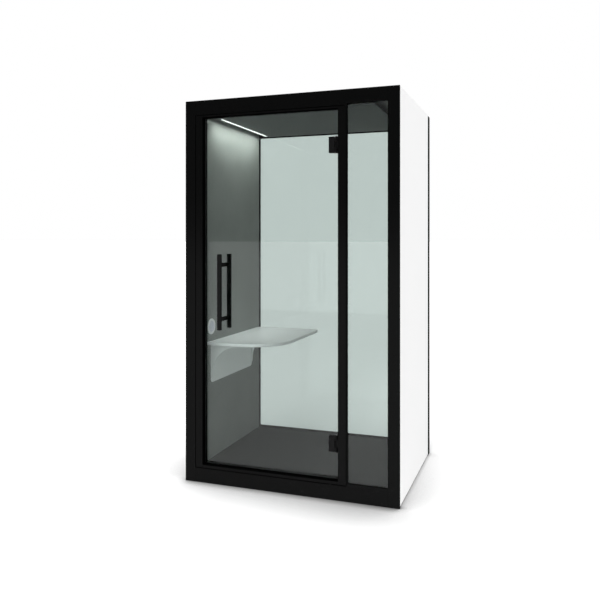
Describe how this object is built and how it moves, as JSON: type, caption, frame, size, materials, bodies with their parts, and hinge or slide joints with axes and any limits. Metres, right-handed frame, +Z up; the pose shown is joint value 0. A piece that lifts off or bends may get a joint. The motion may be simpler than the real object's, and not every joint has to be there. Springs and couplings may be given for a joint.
{
  "type": "acoustic office pod",
  "caption": "One-person acoustic office booth with a hinged glass door, sidelight, glazed back, felt-lined walls, wall desk, linear light and roof ventilation.",
  "frame": {"origin": "middle of the base of the object's box, on the floor plane", "axes": "+Z up, the glass door and the outer pull face -Y, +X to the right as seen from the front"},
  "size_m": [1.284, 1.0506, 2.25],
  "materials": {
    "black_aluminium": "satin black powder coat",
    "black_steel": "satin black",
    "white_board": "matt white melamine faced board",
    "white_steel": "satin white powder coat",
    "grey_felt": "matt grey acoustic felt",
    "dark_felt": "matt dark grey acoustic felt",
    "carpet": "dark grey low loop carpet",
    "wool": "mineral wool board",
    "plywood": "birch plywood",
    "clear_glass": "clear toughened laminated glass",
    "seal_rubber": "black seal rubber",
    "bare_aluminium": "anodised",
    "light_diffuser": "opal diffuser, lit",
    "black_plastic": "moulded black",
    "pale_plastic": "satin pale grey",
    "grey_plastic": "moulded grey",
    "zinc_steel": "zinc plated"
  },
  "bodies": {
    "cabin": {"left_wall_skin": "white_board", "right_wall_skin": "white_board", "left_wall_core": "wool", "right_wall_core": "wool", "left_felt_panel": "grey_felt", "right_felt_panel": "grey_felt", "front_left_stile": "black_aluminium", "front_right_stile": "black_aluminium", "front_top_rail": "black_aluminium", "front_bottom_rail": "black_aluminium", "door_jamb": "black_aluminium", "door_mullion": "black_aluminium", "door_head": "black_aluminium", "door_sill": "black_aluminium", "door_seal": "seal_rubber", "hinge_side_seal": "seal_rubber", "sidelight_glass": "clear_glass", "sidelight_gasket": "seal_rubber", "rear_left_stile": "black_aluminium", "rear_right_stile": "black_aluminium", "rear_top_rail": "black_aluminium", "rear_bottom_rail": "black_aluminium", "rear_glass": "clear_glass", "rear_gasket": "seal_rubber", "base_platform": "plywood", "carpet": "carpet", "roof_panel": "white_board", "mains_inlet": "black_plastic", "plenum_baffle": "dark_felt", "ceiling_raft": "dark_felt", "light_profile": "bare_aluminium", "light_diffuser": "light_diffuser", "light_driver": "bare_aluminium", "supply_fan_frame": "black_plastic", "supply_vent_grille": "black_aluminium", "exhaust_fan_frame": "black_plastic", "exhaust_vent_grille": "black_aluminium", "desk_top": "white_board", "desk_bracket": "white_steel", "power_outlet_ring": "pale_plastic", "power_outlet_insert": "grey_plastic", "upper_hinge_bracket": "black_steel", "lower_hinge_bracket": "black_steel"},
    "door_leaf": {"door_glass": "clear_glass", "outer_pull": "black_steel", "inner_pull": "black_steel", "upper_hinge_pin": "zinc_steel", "upper_hinge_outer_plate": "black_steel", "upper_hinge_inner_plate": "black_steel", "lower_hinge_pin": "zinc_steel", "lower_hinge_outer_plate": "black_steel", "lower_hinge_inner_plate": "black_steel"},
    "supply_rotor": {"supply_fan_rotor": "black_plastic"},
    "exhaust_rotor": {"exhaust_fan_rotor": "black_plastic"},
    "front_left_foot": {"front_left_levelling_foot": "zinc_steel"},
    "front_right_foot": {"front_right_levelling_foot": "zinc_steel"},
    "rear_left_foot": {"rear_left_levelling_foot": "zinc_steel"},
    "rear_right_foot": {"rear_right_levelling_foot": "zinc_steel"}
  },
  "joints": [
    {"name": "door_swing", "type": "hinge", "parent": "cabin", "child": "door_leaf", "pos_m": [0.28, -0.44475, 1.1275], "axis": [0, 0, 1], "range_deg": [0, 90]},
    {"name": "supply_fan_spin", "type": "hinge", "parent": "cabin", "child": "supply_rotor", "pos_m": [-0.25, 0.01925, 2.215], "axis": [0, 0, 1], "continuous": true},
    {"name": "exhaust_fan_spin", "type": "hinge", "parent": "cabin", "child": "exhaust_rotor", "pos_m": [0.25, 0.01925, 2.215], "axis": [0, 0, 1], "continuous": true},
    {"name": "front_left_foot_level", "type": "slide", "parent": "cabin", "child": "front_left_foot", "axis": [0, 0, -1], "range_m": [0, 0.015]},
    {"name": "front_right_foot_level", "type": "slide", "parent": "cabin", "child": "front_right_foot", "axis": [0, 0, -1], "range_m": [0, 0.015]},
    {"name": "rear_left_foot_level", "type": "slide", "parent": "cabin", "child": "rear_left_foot", "axis": [0, 0, -1], "range_m": [0, 0.015]},
    {"name": "rear_right_foot_level", "type": "slide", "parent": "cabin", "child": "rear_right_foot", "axis": [0, 0, -1], "range_m": [0, 0.015]}
  ]
}
